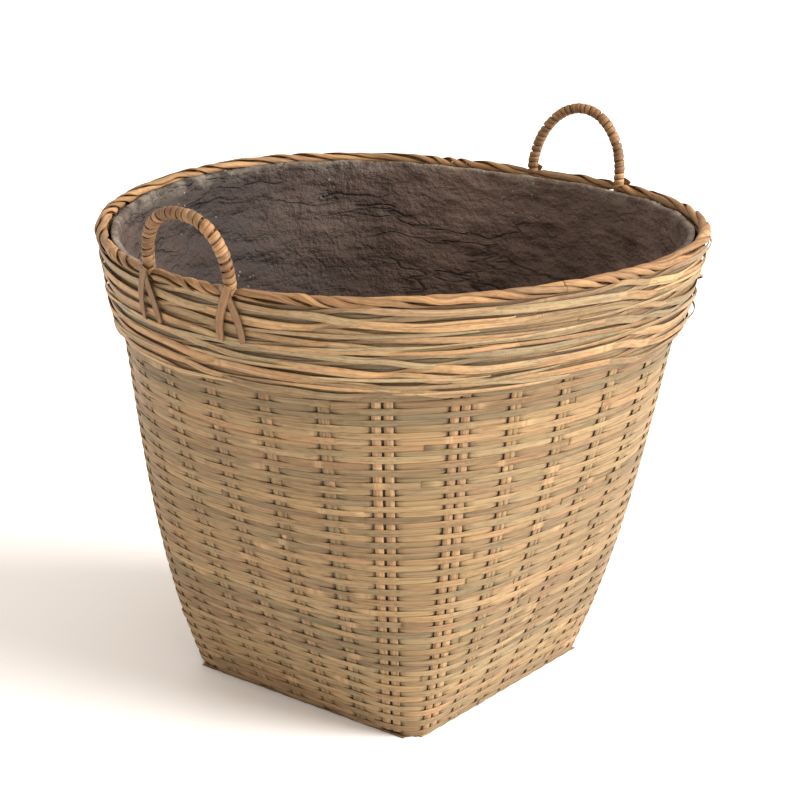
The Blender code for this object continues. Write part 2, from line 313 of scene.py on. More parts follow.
# The woven wall. Each course is one or two long strips, over one stake and under the next
weave = {
    "courses": 60, "perBand": 6, "heightSpread": .13, "thickness": .0007, "level": -.0005, "crown": .00014,
    "over": .0006, "under": .0007, "swell": .00025, "slack": .0011, "looseShare": .04, "gap": .00002,
    "notch": .0009, "notchReach": .0034, "tightSide": .3,
    "flat": .0064, "cornerFlat": .0100, "sinkReach": .013, "swellReach": .0065, "wobble": .0002,
    "columns": (0, .0048, .0066, .0083, .0104, .0135, .0190), "halfSpacing": .0235, "across": 4,
    "lift": .0007, "joinTaper": .022, "tailDrop": .0004, "tailReach": .018, "lean": .0009,
}


def courseHeights(rng, courses, low, high, perBand):
    heights = []
    for band in range(courses // perBand):
        sizes = [1 + weave["heightSpread"] * rng.uniform(-1, 1) for _ in range(perBand)]
        total = (high - low) * perBand / courses
        edge = low + total * band
        for size in sizes:
            thick = size / sum(sizes) * total
            heights.append((edge + thick / 2, thick))
            edge += thick
    return heights


def columnPlaces(start, end, spacing):
    # places for a strip's columns, closer together beside the stakes
    perSide = wall["stakesPerSide"]
    places = [start]
    for n in range(math.floor(start * perSide - .5), math.ceil(end * perSide - .5) + 1):
        for offset in weave["columns"]:
            share = min(offset / spacing, .5 * offset / weave["halfSpacing"])
            for hand in ((-1, 1) if offset else (1,)):
                places.append(stakeSpot(n) + hand * share / perSide)
        places.append((n + 1) / perSide)
    places = sorted(p for p in places if start + .002 < p < end - .002)
    return [start] + places + [end]


def layCourse(bm, index, centre, thick, rng, joins=2):
    around = metresRound(centre)
    spacing = around / wall["stakesRound"]
    bounds = sorted(rng.uniform(0, 4) for _ in range(joins))
    if joins == 2 and bounds[1] - bounds[0] < .8:
        bounds[1] = bounds[0] + rng.uniform(1.2, 2.6)
    looseness = [rng.random() for _ in range(wall["stakesRound"])]
    wander = rng.uniform(0, 50)
    for k, start in enumerate(bounds):
        end = bounds[k + 1] if k + 1 < len(bounds) else bounds[0] + 4
        end += rng.uniform(.045, .085)  # the strip's end tucks under the next one
        tint = (rng.random(), rng.random())
        span = (end - start) * around / 4
        places = columnPlaces(start, end, spacing)
        steps = len(places) - 1
        lean = rng.uniform(-1, 1) * weave["lean"]
        columns = {}

        def column(u):
            key = round(u * steps)
            if key in columns:
                return columns[key]
            place = places[key]
            stake = math.floor(place * wall["stakesPerSide"])
            spot = stakeSpot(stake)
            away = abs(place - spot) * wall["stakesPerSide"] * spacing
            n = stake % wall["stakesRound"]
            atCorner = n % wall["stakesPerSide"] in wall["cornerStakes"]
            flat = min(weave["cornerFlat"] if atCorner else weave["flat"], spacing * .26)
            bump = 1 - ease(flat - .001, min(flat + weave["sinkReach"], spacing * .49), away)
            beside = 1 - ease(flat - .0007, flat + weave["notchReach"], away)
            if place >= spot and not atCorner:
                beside *= weave["tightSide"]
            side = thick * .5 - weave["gap"] + weave["wobble"] * ripple(place * 9, wander, index)
            out = weave["level"]
            if (n + index) % 2 == 0:
                out += weave["over"] * bump
                grow = 1 - ease(flat, min(flat + weave["swellReach"], spacing * .45), away)
                slack = weave["slack"] if looseness[n] < weave["looseShare"] else 0
                side += (weave["swell"] - slack) * grow
                courseShade = 0.0
            else:
                out -= weave["under"] * bump + weave["notch"] * beside
                # painted shade where the course dips behind a stake
                courseShade = beside * .9 + .12 * bump
            run = (place - start) * around / 4
            begun = 1 - ease(.004, weave["joinTaper"], run)
            out += weave["wobble"] * ripple(place * 6, wander + 9, index)
            out += weave["lift"] * begun - weave["tailDrop"] * (1 - ease(0, weave["tailReach"], span - run))
            middle = centre + sway(place, centre) + lean * begun
            middle += .9 * weave["wobble"] * ripple(place * 4 + 3, wander, index + 5)
            columns[key] = (place, middle, side, out, courseShade)
            return columns[key]

        def at(u, v):
            place, middle, side, out, _ = column(u)
            w = 2 * v - 1
            return wallPoint(place, max(.0003, middle + side * w), out - weave["crown"] * w ** 4)

        layStrip(bm, steps, weave["across"], at, span, thick, tint, lambda u, v: column(u)[4],
                 rng.uniform(0, 9))


rng = random.Random(11)
courses = courseHeights(rng, weave["courses"], weaveBottom, weaveTop, weave["perBand"])
for band in range(weave["courses"] // weave["perBand"]):
    bm = startPiece()
    for index in range(band * weave["perBand"], (band + 1) * weave["perBand"]):
        layCourse(bm, index, *courses[index], rng)
    finishPiece(bm, f"woven_courses_{band + 1:02d}", [f"weave_band_{band + 1:02d}"], weaverCane,
                weave["thickness"])
print("woven wall made:", weave["courses"], "courses")

# The stakes. Each is two strips side by side: down one wall, across the base and up the other wall
stakes = {"width": .0056, "space": -.0007, "cornerWidth": .0084, "cornerSpace": .0022, "thickness": .0009,
          "level": -.00055, "wave": .00022, "drift": .0005, "bend": .0012, "stepsUp": 200, "stepsUnder": 24,
          "length": 1.15, "top": collarTop}
pitch = (weaveTop - weaveBottom) / weave["courses"]


def layStake(bm, firstSide, i, underZ, rng):
    perSide = wall["stakesPerSide"]
    atCorner = i in wall["cornerStakes"]
    width = stakes["cornerWidth"] if atCorner else stakes["width"]
    space = stakes["cornerSpace"] if atCorner else stakes["space"]
    down = firstSide * perSide + i  # which stake of the wall it is, on each side
    up = (firstSide + 3) * perSide - 1 - i
    rising, below = stakes["stepsUp"], stakes["stepsUnder"]
    steps = 2 * rising + below
    foot = underZ + stakes["bend"]
    around = [metresRound(stakes["top"] * j / 20) / 4 for j in range(21)]
    wander = rng.uniform(0, 40)

    def wallSpot(n, z, offset, edge):
        level = around[int(clamp(z / stakes["top"]) * 20)]
        beat = math.cos(math.pi * ((z - weaveBottom) / pitch - .5 - n))
        out = stakes["level"] - stakes["wave"] * (1 + beat) * ease(.004, .02, z) - .0002 * edge
        return wallPoint(stakeSpot(n) + offset / level, z, out)

    for half in (-1, 1):
        middle = half * (width + space) / 2 + rng.uniform(-.0003, .0003)
        tint = (rng.random(), rng.random())

        def at(u, v):
            station = u * steps
            side = middle + width * .5 * (2 * v - 1)
            edge = (2 * v - 1) ** 2
            if station < rising:
                z = foot + (stakes["top"] - foot) * (1 - station / rising)
                return wallSpot(down, z, side + stakes["drift"] * ripple(z * 14, wander, 0), edge)
            if station > rising + below:
                z = foot + (stakes["top"] - foot) * ((station - rising - below) / rising)
                return wallSpot(up, z, -side - stakes["drift"] * ripple(z * 14, wander, 9), edge)
            share = clamp((station - rising) / below)
            spot = wallSpot(down, foot, side, 0).lerp(wallSpot(up, foot, -side, 0), share)
            spot.z = foot - stakes["bend"] * math.sin(math.pi * clamp(share, .06, .94)) ** .2 + .00015 * edge
            return spot

        layStrip(bm, steps, 2, at, stakes["length"], width, tint, None, rng.uniform(0, 5))


rng = random.Random(23)
for i in range(wall["stakesPerSide"]):
    for word, side in (("x", 0), ("y", 1)):
        node = f"stake_{word}_{i + 1}"
        bm = startPiece()
        layStake(bm, side, i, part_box(node)[0].z, rng)
        cane = cornerCane if i in wall["cornerStakes"] else stakeCane
        finishPiece(bm, f"bent_{node}", [node], cane, stakes["thickness"])
print("stakes made")

# The mat under the base, plaited over one and under one
mat = {"strips": 28, "width": .0096, "thickness": .0004, "level": .00038, "wave": .00028, "inset": .0012,
       "steps": 112}


def layMat(bm, alongX, k, rng):
    half = wall["baseHalf"]
    offset = (k + .5) / mat["strips"] * 2 * half - half
    power = wall["baseExponent"]
    reach = (1 - abs(offset / half) ** power) ** (1 / power) * half - mat["inset"]
    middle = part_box("base_mat")[0].z + mat["level"]
    tint = (rng.random(), rng.random())

    def at(u, v):
        run = (2 * u - 1) * reach
        side = offset + mat["width"] * (v - .5) * (-1 if alongX else 1)
        beat = math.cos(math.pi * ((run + half) / (2 * half) * mat["strips"] - .5)) * (-1) ** (k + alongX)
        z = middle + mat["wave"] * beat
        return Vector((run, side, z)) if alongX else Vector((side, run, z))

    layStrip(bm, mat["steps"], 2, at, 2 * reach, mat["width"], tint, None, rng.uniform(0, 5))


rng = random.Random(31)
bm = startPiece()
for k in range(mat["strips"]):
    layMat(bm, True, k, rng)
    layMat(bm, False, k, rng)
finishPiece(bm, "plaited_underside", ["base_mat"], weaverCane, mat["thickness"])
print("underside made")

# The collar: wide strips in lanes, with plain weave behind them and a few thin strips over them
collar = {
    "rings": 5, "lanes": 12, "waves": 9, "level": .0066, "depth": .0011, "swell": .0006, "wander": .0015,
    "weaving": .0026, "laneShift": .21, "uneven": .0003, "endDrop": .0018, "endReach": .012, "lap": .07,
    "turns": 1.012, "thickness": .0009, "columns": 600, "across": 4, "crown": .0003,
    "behind": .0024, "behindExtra": .0006, "behindShade": .45, "innerCourses": 14,
    "splinters": 9, "splinterRise": .0019, "splinterEnds": .0016, "splinterEdge": .003,
    "loopWidth": .0022, "loopClimb": .011,
}
laneHeight = (collarTop - collarBottom) / collar["lanes"]
collarRound = metresRound((collarBottom + collarTop) / 2)


def layCollarStrip(bm, strip, rng, behind=False):
    # strips pass in front of and behind their neighbours by turns
    seam = 1.2 + rng.uniform(0, 1.2)
    wander = rng.uniform(0, 60)
    home = collarBottom + laneHeight * (strip + .5)
    broad = laneHeight * (.5 if behind else rng.uniform(.38, .58))
    tints = [(rng.random(), rng.random()) for _ in range(2)]
    half = seam + rng.uniform(1.2, 2.8)

    def column(place, u):
        middle = home + 1.2 * sway(place, home) + collar["wander"] * ripple(place * 3.1, wander, 5)
        if behind:
            out = collar["level"] - collar["behind"] + collar["uneven"] * (-1) ** strip
            # the weave behind the collar gets an even painted shade
            return place, middle, laneHeight * .5 + collar["behindExtra"], out, 0, collar["behindShade"]
        turn = place * math.pi / 2
        bend = .55 * ripple(math.cos(turn) * 2.6, math.sin(turn) * 2.6, home * 16)
        wave = collar["waves"] * place / 4 + .5 * strip + bend + collar["laneShift"] * (strip // 3)
        wave *= 2 * math.pi
        front = math.copysign(abs(math.sin(wave)) ** .75, math.sin(wave))
        wide = broad - .0002 + collar["swell"] * max(0, front)
        wide += collar["uneven"] * ripple(place * 5, wander, 1)
        middle += .0008 * ripple(place * 9, wander, 11) + collar["weaving"] * math.cos(wave)
        out = collar["level"] + collar["depth"] * front + collar["uneven"] * ripple(place * 5, wander + 4, 3)
        out -= collar["endDrop"] * (1 - ease(0, collar["endReach"], min(u, 1 - u)))
        tilt = .0004 * ripple(place * 2.3, wander, 8)
        # painted shade where the strip passes behind its neighbours
        return place, middle, wide, out, tilt, .35 * max(0, -front) ** 2

    for part, (start, end) in enumerate(((seam, half + collar["lap"]), (half, seam + 4 * collar["turns"]))):
        steps = round(collar["columns"] * (end - start) / 4)
        columns = {}

        def cached(u):
            key = round(u * steps)
            if key not in columns:
                columns[key] = column(start + (end - start) * u, u)
            return columns[key]

        def at(u, v):
            place, middle, wide, out, tilt, _ = cached(u)
            w = 2 * v - 1
            return wallPoint(place, middle + wide * w, out + tilt * w - collar["crown"] * w ** 4)

        layStrip(bm, steps, collar["across"], at, collarRound * (end - start) / 4, laneHeight, tints[part],
                 lambda u, v: cached(u)[5], rng.uniform(0, 9))


def laySplinter(bm, low, high, rng):
    # a narrow strip that lies over the others and climbs or drops by up to half a lane
    start, long = rng.uniform(0, 4), rng.uniform(.25, .55)
    climb = rng.uniform(-1, 1) * laneHeight
    middle, wide, wander = rng.uniform(low, high), rng.uniform(.0014, .0023), rng.uniform(0, 30)
    steps = round(collar["columns"] * long / 4)
    lowest, highest = collarBottom + collar["splinterEdge"], collarTop - collar["splinterEdge"]

    def at(u, v):
        w = 2 * v - 1
        swell = math.sin(math.pi * u)
        z = clamp(middle + climb * (ease(0, 1, u) - .5), lowest, highest) + .0012 * ripple(u * 3, wander, 2)
        out = collar["level"] + collar["splinterRise"] * swell ** .5
        out -= collar["splinterEnds"] * (1 - swell ** .3)
        return wallPoint(start + long * u, z + wide * w * math.sin(math.pi * clamp(u, .04, .96)) ** .4,
                         out - collar["crown"] * w ** 4)

    layStrip(bm, steps, 4, at, long * collarRound / 4, 2 * wide, (rng.random(), rng.random()), None,
             rng.uniform(0, 9))


def layLoop(bm, place, z, long, bulge, rng):
    # a thin strip end that has sprung away from the collar
    climb = collar["loopClimb"] * (1 if bulge > .004 else -1)

    def at(u, v):
        level = z + climb * (u - .5) + collar["loopWidth"] * (v - .5)
        return wallPoint(place + long * (u - .5), level, collar["level"] + bulge * math.sin(math.pi * u))

    layStrip(bm, 26, 2, at, long * .4, collar["loopWidth"], (rng.random(), rng.random()), None,
             rng.uniform(0, 9))


# by ring: the place, height and length of each sprung strip, and how far it stands off
springs = {1: [(.86, .3745, .085, .0048)], 2: [(.90, .386, .075, .0042)], 3: [(.84, .409, .06, .0036)],
           4: [(.93, .4225, .06, .0040)], 5: [(.90, .4365, .10, .0052)]}
rng = random.Random(47)
innerRng = random.Random(53)
rings, lanes, inner = collar["rings"], collar["lanes"], collar["innerCourses"]
innerHeights = courseHeights(innerRng, inner, collarBottom, collarTop, inner)
for ring in range(rings):
    bm = startPiece()
    for strip in range(ring * lanes // rings, (ring + 1) * lanes // rings):
        layCollarStrip(bm, strip, rng)
        layCollarStrip(bm, strip, rng, behind=True)
    # the plain weave carries on behind the collar
    for k in range(ring * inner // rings, (ring + 1) * inner // rings):
        layCourse(bm, weave["courses"] + k, *innerHeights[k], innerRng, joins=1)
    for _ in range(collar["splinters"]):
        laySplinter(bm, collarBottom + 2 * laneHeight * ring, collarBottom + 2 * laneHeight * (ring + 1), rng)
    for spring in springs[ring + 1]:
        layLoop(bm, *spring, rng)
    finishPiece(bm, f"braided_collar_{ring + 1}", [f"collar_ring_{ring + 1}"], collarCane,
                collar["thickness"])
print("collar made")

# The two handles, each an arch of bent cane; "feet" are the places where it leaves the rim
handleFigures = {
    "front": {"feet": (3.374, 3.598), "rise": .0593, "lean": math.radians(12.9), "fullness": 2.34,
              "bias": .11, "wrap": .0062, "pitch": .0064, "darkTurns": 9},
    "back": {"feet": (1.285, 1.536), "rise": .0665, "lean": math.radians(11.2), "fullness": 2.0,
             "bias": .054, "wrap": .0057, "pitch": .0058, "darkTurns": 0},
}
allFeet = [place for shape in handleFigures.values() for place in shape["feet"]]

# The rim: three wide strips laid round it in long spirals, narrower beside each foot of a handle
rim = {"strands": 3, "twists": 15, "arc": math.radians(130), "inside": -.0030, "outside": .0080, "start": .3,
       "stripWidth": .013, "columns": 760, "across": 8, "thickness": .0010, "shingle": .0017, "bulge": .0016,
       "parting": .013, "narrowing": .42, "uneven": .13}


def layRim(bm, strand, rng):
    around = metresRound(rimTop)
    middleOut = (rim["inside"] + rim["outside"]) / 2
    halfOut = (rim["outside"] - rim["inside"]) / 2 - .0004
    halfUp = (rimTop - rimBottom) / 2 - .0002
    wander = rng.uniform(0, 30)
    tint = (rng.random(), rng.random())
    columns = {}

    def column(u):
        key = round(u, 6)
        if key not in columns:
            place = 4 * u + rim["start"]
            lift = .0008 * ripple(place * 5, 2, 4) + .0007 * ripple(place * 22, wander, 4)
            centre = wallPoint(place, (rimTop + rimBottom) / 2 + lift, middleOut)
            ahead = wallPoint(place + .01, centre.z, middleOut) - wallPoint(place - .01, centre.z, middleOut)
            outward = Vector((ahead.y, -ahead.x, 0)).normalized()
            near = min(abs((place - foot + 2) % 4 - 2) for foot in allFeet) * around / 4
            narrow = 1 - rim["narrowing"] * (1 - ease(.004, rim["parting"], near))
            east, north = math.cos(place * math.pi / 2), math.sin(place * math.pi / 2)
            turn = -2 * math.pi * (rim["twists"] * u + .42 * ripple(east * 4, north * 4, 5.5))
            turn += 2 * math.pi * strand / rim["strands"] + .6 * ripple(east * 9, north * 9, wander)
            arc = rim["arc"] * (1 + .22 * ripple(east * 11, north * 11, wander + 7))
            columns[key] = (centre, outward, turn, narrow, arc)
        return columns[key]

    def at(u, v):
        centre, outward, turn, narrow, arc = column(u)
        w = 2 * v - 1
        angle = turn + arc * (v - .5)
        fat = 1 + rim["uneven"] * ripple(u * 60, wander, v * 1.5)
        size = rim["shingle"] * w + rim["bulge"] * (.45 - abs(w) ** 2.2)
        return (centre + outward * (halfOut * fat + size) * narrow * math.cos(angle)
                + Vector((0, 0, 1)) * (halfUp * fat + size) * narrow * math.sin(angle))

    layStrip(bm, rim["columns"], rim["across"], at, around, rim["stripWidth"], tint, None, rng.uniform(0, 9))


rng = random.Random(61)
bm = startPiece()
for strand in range(rim["strands"]):
    layRim(bm, strand, rng)
finishPiece(bm, "twisted_rim", ["rim_wrap"], rimCane, rim["thickness"])
print("rim made")

# The cane wound round the handles
binding = {"above": .0022, "out": .0026, "leg": 9, "thickness": .0008, "lap": .12, "columnsPerTurn": 16,
           "darkTone": .35, "uneven": .30, "fullness": .47, "round": .0008}


def archPath(shape):
    # a handle's middle line, and how long it is; it runs on a little way below the rim at both ends
    left, right = (wallPoint(place, rimTop + binding["above"], binding["out"]) for place in shape["feet"])
    middle, along = (left + right) / 2, (right - left) / 2
    away = Vector((middle.x, middle.y, 0)).normalized()
    up = Vector((0, 0, 1)) * math.cos(shape["lean"]) + away * math.sin(shape["lean"])

    def spot(turn):
        sideways = -math.copysign(abs(math.cos(turn)) ** (2 / shape["fullness"]), math.cos(turn))
        height = abs(math.sin(turn)) ** (2 / shape["fullness"])
        return middle + along * (sideways + shape["bias"] * height) + up * shape["rise"] * height

    dense = [spot(math.pi * k / 400) for k in range(401)]
    below = [Vector((0, 0, -.001 * k)) for k in range(1, binding["leg"] + 1)]
    dense = [dense[0] + step for step in reversed(below)] + dense + [dense[-1] + step for step in below]
    runs = [0.0]
    for before, after in zip(dense, dense[1:]):
        runs.append(runs[-1] + (after - before).length)

    def atRun(run):
        run = clamp(run, 0, runs[-1])
        low, high = 0, len(runs) - 1
        while high - low > 1:
            half = (low + high) // 2
            low, high = (half, high) if runs[half] <= run else (low, half)
        share = (run - runs[low]) / max(1e-9, runs[high] - runs[low])
        return dense[low].lerp(dense[high], share)

    return atRun, runs[-1], along.cross(up).normalized()


def layBinding(bm, shape, rng):
    atRun, total, cross = archPath(shape)
    turnsAll = round(total / shape["pitch"])
    pitchNow = total / turnsAll
    wander = rng.uniform(0, 30)
    high = 0
    while high < turnsAll:
        low, high = high, min(turnsAll, high + rng.choice((1, 1, 2, 3)))
        tint = (rng.random(), rng.random() * (binding["darkTone"] if low < shape["darkTurns"] else 1))

        def at(u, v):
            turns = low + (high - low + binding["lap"]) * u
            spin = 2 * math.pi * turns
            w = 2 * v - 1
            slip = binding["uneven"] * ripple(math.floor(turns) * 7.7 + ease(.6, 1, turns % 1), wander, 0)
            run = (turns + slip) * pitchNow
            run += w * pitchNow * (binding["fullness"] + .06 * ripple(turns * .9, wander, 6))
            here, ahead = atRun(run - .0012), atRun(run + .0012)
            tangent = (ahead - here).normalized()
            side = tangent.cross(cross).normalized()
            radius = shape["wrap"] - .0001 - binding["round"] * w ** 4
            radius += .0002 * ripple(v * 3, turns * 4, wander)
            radius *= 1 + .06 * ripple(turns * 1.3, wander, 3)
            return (here + ahead) / 2 + (side * math.cos(spin) - cross * math.sin(spin)) * radius

        length = (high - low) * 2 * math.pi * shape["wrap"]
        layStrip(bm, (high - low) * binding["columnsPerTurn"], 4, at, length, shape["pitch"], tint, None,
                 rng.uniform(0, 5))


rng = random.Random(71)
for name, shape in handleFigures.items():
    bm = startPiece()
    layBinding(bm, shape, rng)
    finishPiece(bm, f"bound_handle_{name}", [f"handle_wrap_{name}"], bindingCane,
                binding["thickness"])
print("handles bound")

# Two strips cross over the rim at each foot of a handle
lashing = {"width": .0074, "thickness": .0010, "steps": 28, "length": .06, "above": .003, "below": .001,
           "start": -.0040, "spread": .0150, "bow": .0035, "out": .0092, "overOther": .0010, "crown": .0010,
           "headOut": .0010, "endTuck": .0006, "round": .0009, "slant": .35}


def layLashing(bm, place, node, hand, rng):
    high, low = rimTop + lashing["above"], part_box(node)[0].z - lashing["below"]
    around = metresRound(rimTop) / 4
    wander = rng.uniform(0, 30)
    tint = (rng.random(), rng.random())
    width = lashing["width"] * rng.uniform(.8, 1.15)

    def at(u, v):
        w = 2 * v - 1
        z = high + (low - high) * u
        swell = math.sin(math.pi * u)
        sideways = hand * (lashing["start"] + lashing["spread"] * u + lashing["bow"] * swell)
        sideways += .0012 * ripple(u * 2, wander, 0)
        half = width / 2 * (1 - .3 * ease(.8, 1, u)) * (1 + .12 * ripple(u * 5, wander, 2))
        slant = hand * lashing["slant"] * half * w
        out = lashing["out"] + lashing["crown"] * swell + lashing["overOther"] * (hand < 0)
        out += lashing["headOut"] * (1 - ease(0, .25, u)) - lashing["endTuck"] * ease(.8, 1, u)
        out += .0003 * ripple(w * 2.5, wander, u) - lashing["round"] * w * w
        return wallPoint(place + (sideways + half * w) / around, z + slant, out)

    layStrip(bm, lashing["steps"], 8, at, lashing["length"], width, tint, None, rng.uniform(0, 5))


rng = random.Random(83)
for name, shape in handleFigures.items():
    for leg, place in zip(("a", "b"), shape["feet"]):
        for hand, word in ((-1, "left"), (1, "right")):
            node = f"lashing_{name}_{leg}_{word}"
            bm = startPiece()
            layLashing(bm, place, node, hand, rng)
            bmesh.ops.reverse_faces(bm, faces=bm.faces[:])
            finishPiece(bm, f"crossed_{node}", [node], lashingCane, lashing["thickness"])
print("lashings made")

# The clay lining: floor, inner wall, top edge, outer wall and underside in one skin
liner = {"outer": -.0046, "thickness": .0060, "columns": 430, "floorRows": 22, "wallRows": 150, "edgeRows": 3,
         "outerRows": 24, "underRows": 6, "corner": .012, "cove": .006, "floorRise": .0027, "skin": .0012,
         "edgeDrop": .0015, "seed": 1795058718}
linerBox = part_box("clay_liner")


def linerMaterial():
    material = bpy.data.materials.new("rough clay")
    material.use_nodes = True
    tree = material.node_tree
    tree.nodes.clear()
    place = addNode(tree, "ShaderNodeTexCoord").outputs["Object"]

    def cloud(scale, stretch, detail, roughness=.6):
        scaled = addNode(tree, "ShaderNodeVectorMath", {0: place, 1: stretch}, operation="MULTIPLY")
        return addNode(tree, "ShaderNodeTexNoise", {"Vector": scaled.outputs[0], "Scale": scale,
                                                    "Detail": detail, "Roughness": roughness}).outputs[0]

    broad = cloud(5, (1, 1, 1.6), 3)
    smears = cloud(34, (1, 1, 1.9), 3, .5)
    grit = cloud(230, (1, 1, 1), 3, .6)
    warp = addNode(tree, "ShaderNodeTexNoise", {"Vector": place, "Scale": 9.0,
                                                "Detail": 2.0}).outputs["Color"]
    push = addNode(tree, "ShaderNodeVectorMath", {0: warp, 1: (.05, .05, .03)},
                   operation="MULTIPLY").outputs[0]
    bent = addNode(tree, "ShaderNodeVectorMath", {0: place, 1: push}, operation="ADD").outputs[0]
    flatter = addNode(tree, "ShaderNodeVectorMath", {0: bent, 1: (1.0, 1.0, 3.4)},
                      operation="MULTIPLY").outputs[0]
    creases = addNode(tree, "ShaderNodeTexNoise", {"Vector": flatter, "Scale": 8.0, "Detail": 3.0,
                                                   "Roughness": .55}).outputs[0]
    # a crease is a line where the stretched noise passes its middle value
    fold = mathNode(tree, "ABSOLUTE", mathNode(tree, "SUBTRACT", creases, .5))
    smooth = rampColour(tree, cloud(7, (1, 1, 2), 1), [(.46, grey(0)), (.6, grey(1))])
    creaseShade = mixColour(tree, "MIX", smooth, grey(1) + (1,), rampColour(
        tree, fold, [(0, grey(0)), (.006, grey(.25)), (.022, grey(1))]))
    fine = rampColour(tree, mathNode(tree, "ABSOLUTE", mathNode(tree, "SUBTRACT", smears, .5)),
                      [(0, grey(0)), (.03, grey(1))])
    colour = rampColour(tree, broad, [(.3, fromSrgb(74, 60, 52)), (.5, fromSrgb(94, 77, 68)),
                                      (.7, fromSrgb(112, 94, 84))])
    colour = mixColour(tree, "MULTIPLY", .7, colour, rampColour(
        tree, smears, [(.3, (.58, .54, .51)), (.5, grey(1)), (.7, (1.25, 1.23, 1.2))]))
    colour = mixColour(tree, "MULTIPLY", .5, colour, rampColour(
        tree, grit, [(.3, grey(.66)), (.5, grey(1)), (.75, grey(1.22))]))
    # painted shade in the creases
    colour = mixColour(tree, "MULTIPLY", .45, colour, creaseShade)
    # painted shade darkens the lining on the side towards -X and the rest is a little lighter, and the top
    # edge is dry and pale
    spot = addNode(tree, "ShaderNodeSeparateXYZ", {0: place}).outputs
    sideShade = addNode(tree, "ShaderNodeMapRange", {0: spot[0], 1: -.27, 2: -.10, 3: .26, 4: 1.08}).outputs[0]
    colour = mixColour(tree, "MULTIPLY", 1.0, colour, addNode(
        tree, "ShaderNodeCombineColor", {0: sideShade, 1: sideShade, 2: sideShade}).outputs[0])
    nearTop = addNode(tree, "ShaderNodeMapRange", {
        0: spot[2], 1: linerBox[1].z - .014, 2: linerBox[1].z, 3: 0.0, 4: 1.0}).outputs[0]
    pale = mathNode(tree, "MULTIPLY", nearTop, rampColour(
        tree, cloud(45, (1, 1, 1), 3), [(.4, grey(0)), (.62, grey(1))]))
    colour = mixColour(tree, "MIX", mathNode(tree, "MULTIPLY", pale, .6), colour,
                       (*fromSrgb(140, 130, 116), 1))
    specks = addNode(tree, "ShaderNodeTexVoronoi", {"Vector": place, "Scale": 130.0}).outputs["Distance"]
    dots = rampColour(tree, specks, [(.1, grey(1)), (.17, grey(0))])
    speckMask = mathNode(tree, "MULTIPLY", dots, rampColour(
        tree, cloud(14, (1, 1, 1), 2), [(.56, grey(0)), (.66, grey(1))]))
    colour = mixColour(tree, "MIX", mathNode(tree, "MULTIPLY", speckMask, .6), colour,
                       (*fromSrgb(170, 160, 145), 1))
    lump = mathNode(tree, "MULTIPLY_ADD", smears, .75, mathNode(tree, "MULTIPLY", grit, .26))
    lump = mathNode(tree, "MULTIPLY_ADD", creases, 1.0, lump)
    lump = mathNode(tree, "MULTIPLY_ADD", creaseShade, .14, mathNode(tree, "MULTIPLY_ADD", fine, .03, lump))
    bump = addNode(tree, "ShaderNodeBump", {"Height": lump, "Strength": 1.0, "Distance": .011})
    roughness = addNode(tree, "ShaderNodeMapRange", {0: smears, 1: .3, 2: .7, 3: .58, 4: .88}).outputs[0]
    shader = addNode(tree, "ShaderNodeBsdfPrincipled", {"Base Color": colour, "Roughness": roughness,
                                                        "Normal": bump.outputs[0], "Specular IOR Level": .3})
    addNode(tree, "ShaderNodeOutputMaterial", {0: shader.outputs[0]})
    return material


def linerRoughness(point):
    wet = point + noise.noise_vector(point * 9) * .02
    creases = noise.ridged_multi_fractal(Vector((wet.x * 13, wet.y * 13, wet.z * 46)), .9, 2.1, 4, 1.0, 2.0)
    lumps = noise.fractal(Vector((point.x * 30 + 4, point.y * 30, point.z * 46)), .8, 2.0, 4)
    dents = ripple(point.x * 9, point.y * 9, point.z * 12 + 3)
    return .0014 * (creases - 1) + .0016 * lumps + .0020 * dents


